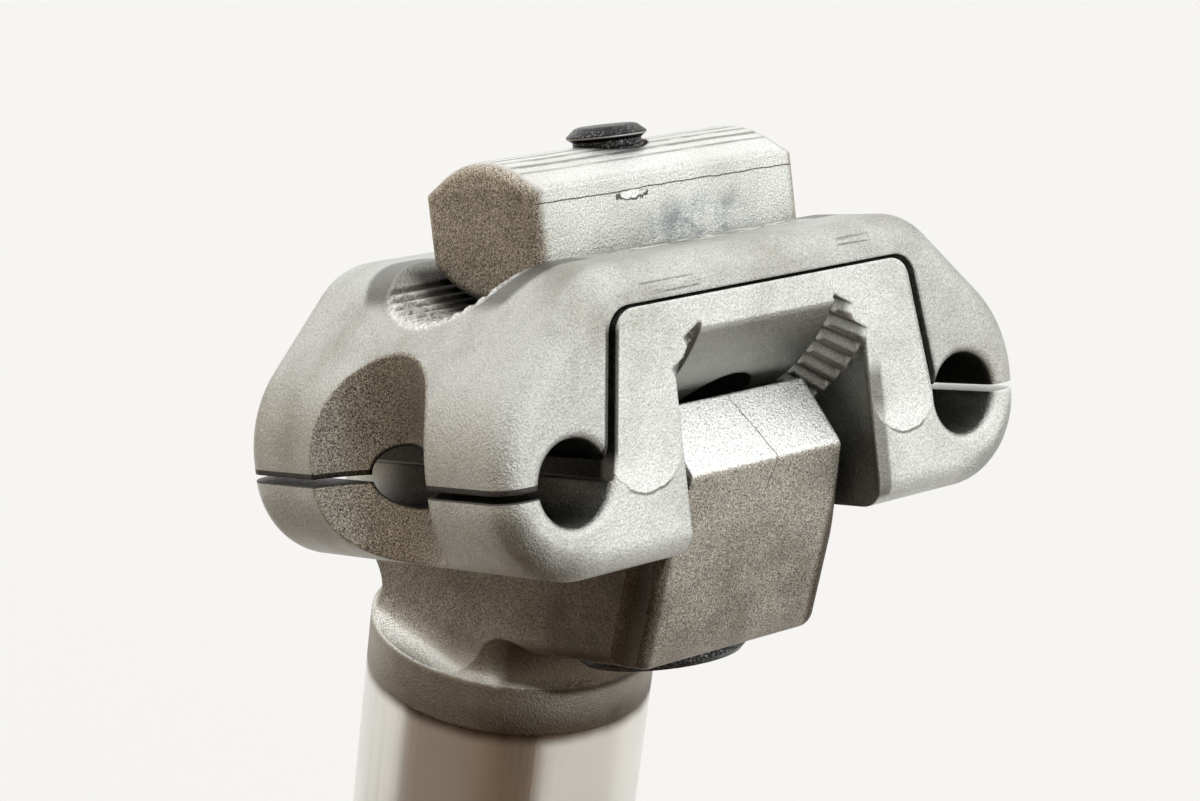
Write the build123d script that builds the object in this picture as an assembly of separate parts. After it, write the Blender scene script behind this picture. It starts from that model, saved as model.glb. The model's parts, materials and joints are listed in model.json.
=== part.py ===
"""Bicycle seatpost: an aluminium tube with a forged head and a single-bolt saddle clamp that tilts.

Post frame: millimetres, +Z up along the post axis, X across the bicycle, -Y to its rear.
The origin is the centre of the tube's lower end.

The clamp and the seat of the head are drawn in the clamp frame: its origin lies midway between
the two rail centres, its Z is the bolt axis and its Y runs along the saddle rails.
"""
import os
from math import cos, radians, sin, sqrt, tan

from build123d import *

# Post tube
TUBE_DIAMETER = 26.8
TUBE_WALL = 2.0
TUBE_LENGTH = 190.0
TUBE_END_CHAMFER = 0.6      # inside its lower end

# Place of the clamp on the post
HEAD_LEAN = 20.0            # bolt axis from the post axis, degrees
SETBACK = 13.5              # rail centres behind the post axis
RAIL_RISE = 30.0            # rail centres above the tube's upper end

# Saddle rails
RAIL_DIAMETER = 7.0
RAIL_SPACING = 43.5
RAIL_EDGE = 0.8             # round at the mouths of the rail bores
CLAMP_LENGTH = 37.4         # along the rails

# Outer form that both clamp halves share
CLAMP_WIDTH = 57.6
CLAMP_TOP = 16.6            # flat top above the rail centres
CLAMP_BOTTOM = 8.1          # flat bottom below the rail centres
SIDE_TOP = 5.5              # upright sides end here above the rail centres, and the shoulders slope in
TOP_RADIUS = 7.0
SIDE_RADIUS = 11.0
BOTTOM_RADIUS = 7.8
RIM_RADIUS = 2.4
SCALLOP_RADIUS = 9.5        # recess in each side between the two lobes
SCALLOP_DEPTH = 4.7
SCALLOP_EDGE = 1.6

# Joint faces between the halves
LOWER_FACE = -0.45          # lower half's face, from the rail centres
JAW_GAP = 0.6
BRIDGE_TOP = 12.9
BRIDGE_HALF_TOP = 15.95     # lower clamp's bridge, half width at its top
BRIDGE_FLARE = 0.15         # outward lean of the bridge's sides
BRIDGE_CORNER = 2.0
SLOT_GAP = 0.8              # beside the bridge
LID_GAP = 0.3               # above the bridge
VALLEY_GAP = 0.35           # between the halves under the nut

# Tilt seat: everything here is concentric with the tilt axis
TILT_RISE = 24.0            # tilt axis above the rail centres
ROCKER_RADIUS = 23.2        # lower clamp's round under side
ROCKER_HALF = 8.3           # half width of the round part, inside the toothed flanks
LEG_HALF = 10.6             # half the free width between the legs
SEAT_RADIUS = 24.2          # hollow of the head under the rocker
FLANK_GAP = 0.3             # between the toothed flanks, square to them
TOOTH_PITCH = 4.2           # degrees
TOOTH_WIDTH = 1.2
TOOTH_DEPTH = 0.6
ROCKER_TEETH = 13           # grooves each side of the middle
HEAD_TEETH_REAR = 7
HEAD_TEETH_FRONT = 10

# Cross nut and its groove in the upper clamp
NUT_LENGTH = 29.0
NUT_WIDTH = 15.6
NUT_RADIUS = 11.05
NUT_TOP = 24.9
NUT_CROWN = 1.5             # fall of the top to its shoulders
NUT_SHOULDER_HALF = 5.8
NUT_EDGE = 1.1
GROOVE_GAP = 0.45
GROOVE_WALL = 3.6           # upper clamp's wall under the groove
GROOVE_PITCH = 6.0          # degrees
GROOVE_TEETH = 6            # notches each side of the middle one
GROOVE_NOTCH_WIDTH = 0.8
GROOVE_NOTCH_DEPTH = 0.4

# Bolt, washer and their holes
BOLT_DIAMETER = 7.0
BOLT_TIP = 26.5             # bolt's upper end above the rail centres
BOLT_TIP_CHAMFER = 1.0
BOLT_HEAD_DIAMETER = 15.0
BOLT_HEAD_HEIGHT = 5.0
BOLT_HEAD_PROUD = 1.3       # of the head's flat bottom
BOLT_HEAD_CHAMFER = 0.5
HEX_SOCKET = 6.0
HEX_DEPTH = 3.5
THREAD_GAP = 0.05
WASHER_DIAMETER = 14.6
WASHER_THICKNESS = 1.2
HOLE_GAP = 0.3              # round the bolt, its head and the washer
BOLT_SLOT_WIDTH = 8.0
LOWER_SLOT_LENGTH = 27.0
UPPER_SLOT_LENGTH = 17.0

# Forged head, in the clamp frame where it carries the clamp
HEAD_HALF = 10.1
HEAD_BOTTOM = 18.9          # flat under the bolt, below the rail centres
FACE_FOOT = 8.9             # rear face's lower edge behind the bolt axis
FACE_TOP = 16.8             # rear face's upper edge behind the bolt axis
FACE_DROP = 2.0             # that edge below the rail centres
LIP_SLOPE = 53.0            # bevel from there to the lip of the seat, degrees
LIP_HALF = 8.3              # half width of the bevel
HEAD_DRAFT = 0.17           # widening of the sides with the depth under the bevel
HEAD_EDGE = 1.4             # round along both sides of its bottom and down the neck
FACE_EDGE = 0.8             # round at the rear face's upper and lower edge
BROW_SET = 2.0              # hollow line along each side, from the rear face to its middle
BROW_RADIUS = 3.0
BROW_DEPTH = 0.5
BACK_LIP_ANGLE = 45.0       # front end of the seat, about the tilt axis
BACK_BEVEL = 5.0
# and in the post frame where it meets the tube
NECK_REAR = 12.7            # neck's rear face behind the post axis
NECK_BACK = 13.2            # neck's front face before the post axis
NECK_BACK_DROP = 20.3       # where it is widest, below the rail centres
NECK_CORNER = 5.0
COLLAR_HEIGHT = 4.75
WAIST_RADIUS = 12.6
WAIST_RISE = 7.0            # narrowest place above the tube's upper end
FLARE_RADIUS = 16.3         # where the waist runs out under the forging
FLARE_RISE = 10.4
COVE_RADIUS = 3.0           # from the neck's flat sides to the collar
SPIGOT_LENGTH = 32.0
SPIGOT_CHAMFER = 1.5

RAIL_Z = TUBE_LENGTH + RAIL_RISE
RAIL_X = RAIL_SPACING / 2
RAIL_R = RAIL_DIAMETER / 2
BOLT_R = BOLT_DIAMETER / 2
OVERCUT = 2.0               # cutters pass the faces that they open by this much
FAR = 200.0


def to_post(shape):
    """Moves a shape from the clamp frame to the post frame."""
    return Pos(0, -SETBACK, RAIL_Z) * Rot(X=-HEAD_LEAN) * shape


def clamp_point(y, z):
    """Post-frame (y, z) of a clamp-frame (y, z)."""
    lean = radians(HEAD_LEAN)
    return (-SETBACK + y * cos(lean) + z * sin(lean), RAIL_Z - y * sin(lean) + z * cos(lean))


def across(points):
    """Face in the YZ plane from (y, z) points, looked at from +X."""
    return make_face(Polyline(*[(0, y, z) for y, z in points], close=True))


def slab(y_half, z_low, z_high, x_half=FAR):
    """Box about the bolt axis between two heights."""
    low = Pos(0, 0, (z_low + z_high) / 2)
    return low * Box(2 * x_half, 2 * y_half, z_high - z_low)


def tilt_drum(radius, half_width):
    """Cylinder about the tilt axis."""
    return Pos(0, 0, TILT_RISE) * Rot(Y=90) * Cylinder(radius, 2 * half_width)


def tilt_drum_with_flanks(radius, flat_half, half_width):
    """Drum about the tilt axis whose radius grows by 45 degree flanks outside flat_half."""
    rim = radius + half_width - flat_half
    outline = Polyline(
        (-half_width, 0, 0), (-half_width, 0, -rim), (-flat_half, 0, -radius),
        (flat_half, 0, -radius), (half_width, 0, -rim), (half_width, 0, 0), close=True)
    return Pos(0, 0, TILT_RISE) * revolve(make_face(outline), Axis.X)


def flank_grooves(flank_start, flank_radius, length, into, angles):
    """V grooves along the 45 degree flanks on both sides, one for each angle about the tilt axis.

    into is 1 where the material lies towards the tilt axis and -1 where it lies away from it.
    """
    over = TOOTH_DEPTH
    half = TOOTH_WIDTH / 2 * (1 + over / TOOTH_DEPTH)
    start = Vector(flank_start - over, 0, -flank_radius + over)
    plane = Plane(origin=start, x_dir=(0, 1, 0), z_dir=(1, 0, -1))
    wedge = Polyline((-half, -over * into), (half, -over * into), (0, TOOTH_DEPTH * into), close=True)
    groove = extrude(plane * make_face(wedge), length + over * sqrt(2))
    cutters = []
    for angle in angles:
        turned = Pos(0, 0, TILT_RISE) * Rot(X=angle) * groove
        cutters += [turned, mirror(turned, Plane.YZ)]
    return cutters


def clamp_blank():
    """Outer form of the closed clamp: a prism along the rails with round rims and side scallops."""
    half = CLAMP_WIDTH / 2
    shoulder = half - (CLAMP_TOP - SIDE_TOP)
    corners = [(shoulder, CLAMP_TOP), (half, SIDE_TOP), (half, -CLAMP_BOTTOM)]
    corners += [(-x, z) for x, z in reversed(corners)]
    radii = [TOP_RADIUS, SIDE_RADIUS, BOTTOM_RADIUS, BOTTOM_RADIUS, SIDE_RADIUS, TOP_RADIUS]
    outline = FilletPolyline(*corners, radius=radii, close=True)
    prism = extrude(Plane.XZ * make_face(outline), CLAMP_LENGTH / 2, both=True)
    ends = prism.faces().sort_by(Axis.Y)
    prism = fillet(ends[0].edges() + ends[-1].edges(), RIM_RADIUS)
    centre = half - SCALLOP_DEPTH + SCALLOP_RADIUS
    for side in (-1, 1):
        prism -= Pos(side * centre, 0, 0) * Cylinder(SCALLOP_RADIUS, FAR)
    hollows = prism.faces().filter_by(lambda face: abs((face.radius or 0) - SCALLOP_RADIUS) < 1e-4)
    return fillet(hollows.edges(), SCALLOP_EDGE)


def bridge_prism(gap_side, gap_top, low, length):
    """Inverted U outline of the lower clamp's bridge, widened by a gap, from low to its top."""
    top = BRIDGE_TOP + gap_top
    top_half = BRIDGE_HALF_TOP + gap_side - gap_top * BRIDGE_FLARE
    low_half = top_half + (top - low) * BRIDGE_FLARE
    corner = BRIDGE_CORNER + gap_top
    outline = FilletPolyline(
        (-low_half, low), (-top_half, top), (top_half, top), (low_half, low),
        radius=[corner, corner])
    base = Line((low_half, low), (-low_half, low))
    return extrude(Plane.XZ * make_face([outline, base]), length / 2, both=True)


def rail_bores():
    """Two cutters where the saddle rails lie, with a round flare at each mouth."""
    end = CLAMP_LENGTH / 2
    mouth = RAIL_R + RAIL_EDGE
    flare = RadiusArc((RAIL_R, end - RAIL_EDGE), (mouth, end), RAIL_EDGE)
    rest = Polyline((mouth, end), (mouth, end + OVERCUT), (0, end + OVERCUT), (0, 0),
                    (RAIL_R, 0), (RAIL_R, end - RAIL_EDGE))
    half_bore = revolve(make_face([flare, rest]), Axis.Y)
    bore = half_bore + mirror(half_bore, Plane.XZ)
    return [Pos(side * RAIL_X, 0, 0) * bore for side in (-1, 1)]


def bolt_slot(length):
    """Slot for the bolt, long enough for the clamp to tilt round it."""
    return extrude(SlotOverall(length, BOLT_SLOT_WIDTH, rotation=90), FAR / 2, both=True)


def make_lower_clamp(blank):
    ears = blank & slab(FAR, -FAR, LOWER_FACE)
    bridge = blank & bridge_prism(0, 0, -CLAMP_BOTTOM, CLAMP_LENGTH)
    body = ears + bridge
    tunnel = slab(CLAMP_LENGTH, -FAR, TILT_RISE, LEG_HALF)
    body -= tunnel - tilt_drum_with_flanks(ROCKER_RADIUS, ROCKER_HALF, LEG_HALF + OVERCUT)
    body -= tilt_drum(NUT_RADIUS + GROOVE_GAP + GROOVE_WALL + VALLEY_GAP, FAR)
    body -= bolt_slot(LOWER_SLOT_LENGTH)
    body -= rail_bores()
    angles = [(tooth + 0.5) * TOOTH_PITCH for tooth in range(-ROCKER_TEETH, ROCKER_TEETH)]
    flank_length = (LEG_HALF - ROCKER_HALF) * sqrt(2)
    body -= flank_grooves(ROCKER_HALF, ROCKER_RADIUS, flank_length, 1, angles)
    return body


def make_upper_clamp(blank):
    arch = blank & slab(FAR, LOWER_FACE + JAW_GAP, FAR)
    arch -= bridge_prism(SLOT_GAP, LID_GAP, -CLAMP_BOTTOM, CLAMP_LENGTH + OVERCUT)
    groove_radius = NUT_RADIUS + GROOVE_GAP
    belly_half = BRIDGE_HALF_TOP + SLOT_GAP
    belly = tilt_drum(groove_radius + GROOVE_WALL, belly_half)
    arch += belly & slab(FAR, 0, CLAMP_TOP - TOP_RADIUS / 2)
    arch -= tilt_drum(groove_radius, FAR)
    notch_half = GROOVE_NOTCH_WIDTH
    notch = Polyline((0, -notch_half, -groove_radius + GROOVE_NOTCH_DEPTH),
                     (0, notch_half, -groove_radius + GROOVE_NOTCH_DEPTH),
                     (0, 0, -groove_radius - GROOVE_NOTCH_DEPTH), close=True)
    notch_bar = extrude(make_face(notch), CLAMP_WIDTH, both=True)
    for tooth in range(-GROOVE_TEETH, GROOVE_TEETH + 1):
        arch -= Pos(0, 0, TILT_RISE) * Rot(X=tooth * GROOVE_PITCH) * notch_bar
    arch -= bolt_slot(UPPER_SLOT_LENGTH)
    arch -= rail_bores()
    return arch


def make_nut():
    half = NUT_WIDTH / 2
    side_low = TILT_RISE - sqrt(NUT_RADIUS**2 - half**2)
    shoulder = NUT_TOP - NUT_CROWN
    side_top = shoulder - (half - NUT_SHOULDER_HALF) / 2
    crown = ThreePointArc((0, -NUT_SHOULDER_HALF, shoulder), (0, 0, NUT_TOP), (0, NUT_SHOULDER_HALF, shoulder))
    sides = [Polyline((0, s * NUT_SHOULDER_HALF, shoulder), (0, s * half, side_top), (0, s * half, side_low))
             for s in (-1, 1)]
    under = ThreePointArc((0, -half, side_low), (0, 0, TILT_RISE - NUT_RADIUS), (0, half, side_low))
    block = extrude(make_face([crown, *sides, under]), NUT_LENGTH / 2, both=True)
    ends = block.faces().sort_by(Axis.X)
    block = fillet(ends[0].edges() + ends[-1].edges(), NUT_EDGE)
    return block - Cylinder(BOLT_R + THREAD_GAP, FAR)


def make_bolt():
    head_low = -HEAD_BOTTOM - BOLT_HEAD_PROUD
    head = extrude(Plane.XY.offset(head_low) * Circle(BOLT_HEAD_DIAMETER / 2), BOLT_HEAD_HEIGHT)
    head = chamfer(head.edges().sort_by(Axis.Z)[0], BOLT_HEAD_CHAMFER)
    shank_low = head_low + BOLT_HEAD_HEIGHT
    shank = extrude(Plane.XY.offset(shank_low) * Circle(BOLT_R), BOLT_TIP - shank_low)
    shank = chamfer(shank.edges().sort_by(Axis.Z)[-1], BOLT_TIP_CHAMFER)
    socket_radius = HEX_SOCKET / 2 / cos(radians(30))
    socket = extrude(Plane.XY.offset(head_low) * RegularPolygon(socket_radius, 6), HEX_DEPTH)
    return head + shank - socket


def make_washer():
    low = -HEAD_BOTTOM - BOLT_HEAD_PROUD + BOLT_HEAD_HEIGHT
    ring = Circle(WASHER_DIAMETER / 2) - Circle(BOLT_R + HOLE_GAP)
    return extrude(Plane.XY.offset(low) * ring, WASHER_THICKNESS)


def head_block():
    """The forging above the collar: its side outline made solid, in the post frame."""
    lip_run = FACE_TOP - ROCKER_RADIUS / 2
    lip_top = -FACE_DROP + lip_run * tan(radians(LIP_SLOPE))
    back = radians(BACK_LIP_ANGLE)
    lip = (SEAT_RADIUS * sin(back), TILT_RISE - SEAT_RADIUS * cos(back))
    inner = (lip[0] - OVERCUT * cos(back), lip[1] + OVERCUT * sin(back))
    bevel = (lip[0] + BACK_BEVEL * cos(back), lip[1] - BACK_BEVEL * sin(back))
    neck_low = TUBE_LENGTH + COLLAR_HEIGHT / 2
    bottom_end = (SETBACK - NECK_REAR) / cos(radians(HEAD_LEAN)) + HEAD_BOTTOM * tan(radians(HEAD_LEAN))
    block = extrude(across([
        clamp_point(-FACE_FOOT, -HEAD_BOTTOM),
        clamp_point(-FACE_TOP, -FACE_DROP),
        clamp_point(-ROCKER_RADIUS / 2, lip_top),
        clamp_point(*inner),
        clamp_point(*lip),
        clamp_point(*bevel),
        (NECK_BACK, RAIL_Z - NECK_BACK_DROP),
        (NECK_BACK, neck_low),
        (-NECK_REAR, neck_low),
        clamp_point(bottom_end, -HEAD_BOTTOM),
    ]), HEAD_HALF, both=True)
    back_faces = block.faces().sort_by(Axis.Y)[-2:]
    corners = [edge for face in back_faces for edge in face.edges() if edge.bounding_box().size.X < HEAD_HALF]
    block = fillet(corners, NECK_CORNER)
    lean = radians(HEAD_LEAN)
    bottom = block.faces().filter_by(Axis((0, 0, 0), (0, sin(lean), cos(lean))))[0]
    neck_corners = block.edges().filter_by(Axis.Z).filter_by(lambda edge: edge.center().Y < 0)
    sides = bottom.edges().filter_by(Axis.X, reverse=True)
    block = fillet(sides + neck_corners, HEAD_EDGE)
    for y, z in ((-FACE_TOP, -FACE_DROP), (-FACE_FOOT, -HEAD_BOTTOM)):
        middle = Vertex(0, *clamp_point(y, z))
        block = fillet(block.edges().sort_by_distance(middle)[0], FACE_EDGE)
    return block


def head_draft():
    """Two blocks that take the head's sides in towards the bevel."""
    slope = radians(LIP_SLOPE)
    cutters = []
    for side in (-1, 1):
        outward = (side, -HEAD_DRAFT * sin(slope), HEAD_DRAFT * cos(slope))
        plane = Plane(origin=(side * LIP_HALF, -FACE_TOP, -FACE_DROP), z_dir=outward)
        cutters.append(plane * Pos(0, 0, FAR / 4) * Box(FAR, FAR, FAR / 2))
    return cutters


def brow_hollows():
    """Two round cutters that run along the head's sides just behind the edges of its rear face."""
    run = Vector(0, FACE_TOP - FACE_FOOT, FACE_DROP - HEAD_BOTTOM).normalized()
    inward = Vector(0, -run.Z, run.Y)
    cutters = []
    for side in (-1, 1):
        centre = Vector(side * (HEAD_HALF + BROW_RADIUS - BROW_DEPTH), -FACE_TOP, -FACE_DROP)
        plane = Plane(origin=centre + inward * BROW_SET, z_dir=run)
        cutters.append(plane * Cylinder(BROW_RADIUS, FAR / 2))
    return cutters


def neck_form():
    """Turned form of the collar and the waist above it, open to the sides above the waist."""
    collar = TUBE_DIAMETER / 2
    waist = ThreePointArc(
        (collar, 0, COLLAR_HEIGHT), (WAIST_RADIUS, 0, WAIST_RISE), (FLARE_RADIUS, 0, FLARE_RISE))
    rest = Polyline((FLARE_RADIUS, 0, FLARE_RISE), (FAR, 0, FLARE_RISE), (FAR, 0, FAR), (0, 0, FAR),
                    (0, 0, 0), (collar, 0, 0), (collar, 0, COLLAR_HEIGHT))
    return Pos(0, 0, TUBE_LENGTH) * revolve(make_face([waist, rest]), Axis.Z)


def neck_coves():
    """Two cutters that leave the neck's flat sides with a hollow round down to the collar."""
    foot = TUBE_LENGTH + COLLAR_HEIGHT
    cutters = []
    for side in (-1, 1):
        wall = side * HEAD_HALF
        ledge = wall + side * COVE_RADIUS
        hollow = RadiusArc((wall, foot + COVE_RADIUS), (ledge, foot), -side * COVE_RADIUS)
        rest = Polyline((ledge, foot), (side * FAR, foot), (side * FAR, foot + FAR), (wall, foot + FAR),
                        (wall, foot + COVE_RADIUS))
        cutters.append(extrude(Plane.XZ * make_face([hollow, rest]), FAR, both=True))
    return cutters


def make_head():
    neck = neck_form()
    body = head_block() & neck
    skirt_height = COLLAR_HEIGHT + COVE_RADIUS
    skirt = neck & Pos(0, 0, TUBE_LENGTH) * Cylinder(FLARE_RADIUS, 2 * skirt_height)
    body += skirt - neck_coves()
    body -= [to_post(cutter) for cutter in head_draft() + brow_hollows()]
    seat_half = SEAT_RADIUS - ROCKER_RADIUS + ROCKER_HALF - FLANK_GAP * sqrt(2)
    body -= to_post(tilt_drum_with_flanks(SEAT_RADIUS, seat_half, HEAD_HALF + OVERCUT))
    angles = [tooth * TOOTH_PITCH for tooth in range(-HEAD_TEETH_REAR, HEAD_TEETH_FRONT + 1)]
    flank_length = (HEAD_HALF - seat_half) * sqrt(2)
    body -= [to_post(groove) for groove in flank_grooves(seat_half, SEAT_RADIUS, flank_length, -1, angles)]
    spigot_radius = TUBE_DIAMETER / 2 - TUBE_WALL
    spigot = Pos(0, 0, TUBE_LENGTH - SPIGOT_LENGTH) * extrude(Circle(spigot_radius), SPIGOT_LENGTH)
    body += chamfer(spigot.edges().sort_by(Axis.Z)[0], SPIGOT_CHAMFER)
    recess = BOLT_HEAD_HEIGHT - BOLT_HEAD_PROUD + WASHER_THICKNESS
    bore = Cylinder(BOLT_R + HOLE_GAP, FAR)
    bore += Pos(0, 0, -HEAD_BOTTOM + recess / 2 - FAR / 2) * Cylinder(BOLT_HEAD_DIAMETER / 2 + HOLE_GAP, recess + FAR)
    return body - to_post(bore)


def make_tube():
    outer = Circle(TUBE_DIAMETER / 2)
    inner = Circle(TUBE_DIAMETER / 2 - TUBE_WALL)
    tube = extrude(outer - inner, TUBE_LENGTH)
    lower_edges = tube.edges().group_by(Axis.Z)[0]
    return chamfer(lower_edges.sort_by(SortBy.LENGTH)[0], TUBE_END_CHAMFER)


def main():
    blank = clamp_blank()
    nodes = {
        "post_tube": make_tube(),
        "post_head": make_head(),
        "lower_clamp": to_post(make_lower_clamp(blank)),
        "upper_clamp": to_post(make_upper_clamp(blank)),
        "clamp_nut": to_post(make_nut()),
        "clamp_bolt": to_post(make_bolt()),
        "bolt_washer": to_post(make_washer()),
    }
    os.makedirs("parts", exist_ok=True)
    for name, shape in nodes.items():
        export_step(shape, os.path.join("parts", name + ".step"))


main()
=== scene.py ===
"""Finishes, threaded bolt and studio for a bicycle seatpost with a tilting saddle clamp."""
import json
import math

import bmesh
import bpy
from bpy.props import FloatProperty, FloatVectorProperty, IntProperty, PointerProperty
from mathutils import Matrix, Vector


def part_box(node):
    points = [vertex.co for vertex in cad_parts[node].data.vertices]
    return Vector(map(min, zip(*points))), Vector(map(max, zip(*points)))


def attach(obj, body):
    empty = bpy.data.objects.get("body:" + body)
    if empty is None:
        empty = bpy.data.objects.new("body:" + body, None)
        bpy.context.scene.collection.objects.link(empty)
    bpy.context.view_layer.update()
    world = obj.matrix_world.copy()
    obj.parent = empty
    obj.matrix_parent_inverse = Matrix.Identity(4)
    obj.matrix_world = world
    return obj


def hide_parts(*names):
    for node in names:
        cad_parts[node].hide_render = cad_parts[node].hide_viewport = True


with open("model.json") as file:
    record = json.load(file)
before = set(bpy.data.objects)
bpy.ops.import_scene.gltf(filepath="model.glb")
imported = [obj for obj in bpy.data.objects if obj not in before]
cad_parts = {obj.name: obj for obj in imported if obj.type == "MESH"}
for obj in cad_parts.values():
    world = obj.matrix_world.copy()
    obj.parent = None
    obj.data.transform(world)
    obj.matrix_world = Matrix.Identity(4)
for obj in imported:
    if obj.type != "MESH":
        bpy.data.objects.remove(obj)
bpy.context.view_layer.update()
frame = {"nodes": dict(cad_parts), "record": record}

bl_info = {
    "name": "Seatpost dresser",
    "version": (1, 0, 0),
    "blender": (4, 5, 0),
    "location": "3D View > Sidebar > Seatpost",
    "description": "Finishes a bicycle seatpost with its forged clamp, threaded bolt and studio",
    "category": "Object",
}

MM = 0.001
MOUNTS = {mount["name"]: mount for mount in frame["record"]["mounts"]}
RAIL_AXIS = Vector(MOUNTS["left_rail"]["axis"])
RAIL_MIDDLE = (Vector(MOUNTS["left_rail"]["pos_m"]) + Vector(MOUNTS["right_rail"]["pos_m"])) / 2
LEAN = math.atan2(RAIL_AXIS.z, -RAIL_AXIS.y)
TUBE_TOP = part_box("post_tube")[1].z
# Clamp frame: origin midway between the rails, Y along them, Z up the bolt
CLAMP_TO_POST = Matrix.Translation(RAIL_MIDDLE) @ Matrix.Rotation(-LEAN, 4, "X")

# Places in the clamp frame, in millimetres
RAIL = (MOUNTS["right_rail"]["pos_m"][0] / MM, 0.0)    # X and Z of a rail's centre
PLATE = (14.4, 2.1)                                    # X and Z of the round plate's middle on each leg
SCALLOP = (33.6, 0.0)                                  # X and Y of the axis of the hollows in the sides
TILT = (0.0, 24.0)                                     # Y and Z of the tilt axis
WASHER_RIM = (-14.5, -14.4)                            # heights between which the washer's rim is bare

# Bolt: sides of the turned body, points in a turn of thread, sides of its ridge, and the shape of the domed end
BOLT_SIDES = 72
THREAD_POINTS = 40
RIDGE_SIDES = 6
TIP_FOOT, TIP_SHOULDER = 0.55 * MM, 0.2 * MM                         # depths below the tip's rim
TIP_DOME = ((0.12 * MM, 0.75 * MM), (0.02 * MM, 1.1 * MM))           # depth below the tip, distance inside the shank
SHARP_EDGE = math.radians(30)

# Camera of the photograph, in metres of the post's frame
CAMERA_LENS = 95.49
CAMERA_SENSOR = 36.0
CAMERA_PLACE = (-0.1726, -0.2019, 0.32954)
CAMERA_RIGHT = (0.77256, -0.62496, 0.11213)
CAMERA_UP = (0.16513, 0.36828, 0.91494)

FLOOR_REACH = 4.0
FLOOR_LEVEL = -0.2 * MM
LAMP_SPREAD = math.radians(110)
KEY_FROM = (0.5, -0.65, 0.72)
RIM_FROM = (-0.1, 0.72, 0.65)

# Cards round the post: stock, cover at some directions in degrees, and rows of radius, height (m) and cover
CARD_STEP = 5
CARDS = {
    "left_card": ("brown", ((138, 0), (150, 0.85), (200, 0.9), (235, 1), (258, 1), (268, 0)), (
        (0.02, 0.003, 1), (0.36, 0.003, 1), (0.36, 0.18, 1), (0.36, 0.3, 0))),
    "middle_card": ("black", ((215, 0), (238, 0.7), (253, 0.75), (258, 0)), (
        (0.35, 0.003, 1), (0.35, 0.18, 1), (0.35, 0.28, 0))),
    "side_floor_card": ("brown", ((85, 0), (98, 1), (137, 1), (150, 0)), (
        (0.02, 0.004, 1), (0.24, 0.004, 1), (0.3, 0.004, 0))),
    "side_low_card": ("brown", ((95, 0), (110, 0.5), (150, 0.5), (165, 0)), (
        (0.49, 0.002, 1), (0.49, 0.08, 1), (0.49, 0.14, 0))),
    "corner_card": ("tan", ((160, 0), (180, 0.7), (215, 0.7), (235, 0)), (
        (0.51, 0.26, 0), (0.51, 0.32, 1), (0.51, 0.38, 1), (0.51, 0.46, 0))),
    "under_card": ("brown", ((0, 0.7), (360, 0.7)), (
        (0.016, 0.002, 1), (0.09, 0.002, 1), (0.16, 0.002, 0))),
    "side_wall_card": ("tan", ((80, 0), (100, 1), (225, 1), (245, 0)), (
        (0.5, 0.02, 1), (0.5, 0.24, 1), (0.5, 0.34, 0))),
    "front_card": ("brown", ((250, 0), (269, 0.65), (326, 0.65), (345, 0)), (
        (0.02, 0.005, 1), (0.14, 0.005, 1), (0.26, 0.005, 0.4), (0.7, 0.005, 0.4), (1.0, 0.005, 0))),
}


def linear(code):
    """Linear colour of an sRGB hex code."""
    parts = [int(code[i:i + 2], 16) / 255 for i in (1, 3, 5)]
    return tuple(c / 12.92 if c <= 0.04045 else ((c + 0.055) / 1.055) ** 2.4 for c in parts)


def colour(code, name, description):
    """Colour setting whose default is an sRGB hex code."""
    return FloatVectorProperty(
        name=name, description=description, subtype="COLOR", size=3, min=0, max=1, default=linear(code))


def length(value_mm, name, description):
    """Length setting whose default is given in millimetres."""
    return FloatProperty(name=name, description=description, unit="LENGTH", default=value_mm * MM)


def level(value, name, description):
    """Strength of a light."""
    return FloatProperty(name=name, description=description, min=0, default=value)


class SeatpostFinish(bpy.types.PropertyGroup):
    """Colours and grain of the metal surfaces."""
    clean: colour("#CACCC8", "Clean skin", "Bead-blasted skin of the lower clamp and the nut")
    dull: colour("#B7B8B4", "Dull skin", "Bead-blasted skin of the upper clamp")
    # Darker base colour of the head, its neck and collar.
    dark_head_skin: colour("#B0ACA2", "Aged skin", "Skin of the head, darkened by use")
    # Also the colour of painted highlights on the head's lip bevel, at the foot of the hollows over the collar, in the
    # right gap between the clamp's halves, on the leg plates and at the groove's ends.
    bright: colour("#EEEEEB", "Bright metal", "Bare metal where the skin has rubbed off")
    tarnish: colour("#DFDDD8", "Tarnish", "Tint of dull warm patches")
    # Tint of the painted shade on the toothed flanks under the bridge.
    flank: colour("#918E8A", "Flank dirt", "Tint of the dirt on the toothed flanks")
    # Also the tint of painted shade round the ears, on the right leg's inner edge, under the bridge and in and along
    # the nut's groove, and of the painted shadow under the leg plates.
    mark: colour("#6B6761", "Mark", "Tint of lines, folds and scratches")
    stain: colour("#AFB4BA", "Stain", "Tint of the bluish stain on the nut")
    # Also the tint of the painted shade in the clamp's side hollows and on the nut's ends.
    brown: colour("#C3B8AC", "Brown skin", "Tint of faces left as forged")
    # Tint of dried dirt, and of painted shade on the head's sides, hollows and collar.
    grime_and_shade: colour("#6A5B4A", "Grime", "Tint of dried dirt")
    # Near-black tint of painted shade in the bores, the slots and the gaps between the clamp's halves.
    shade_black: colour("#352F28", "Soot", "Tint of black dirt in the bores")
    polished: colour("#F0EBE3", "Polished aluminium", "Colour of the polished tube")
    black_steel: colour("#262627", "Black steel", "Oiled black skin of the bolt")
    bare_steel: colour("#A5A4A1", "Bare steel", "Steel where the black skin has worn off")
    zinc: colour("#B9BABC", "Zinc", "Plating of the washer")
    grain: length(0.15, "Blast grain", "Size of the grains of the blasted skin")
    edge_round: length(0.35, "Edge round", "Softness of the forged edges")


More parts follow.
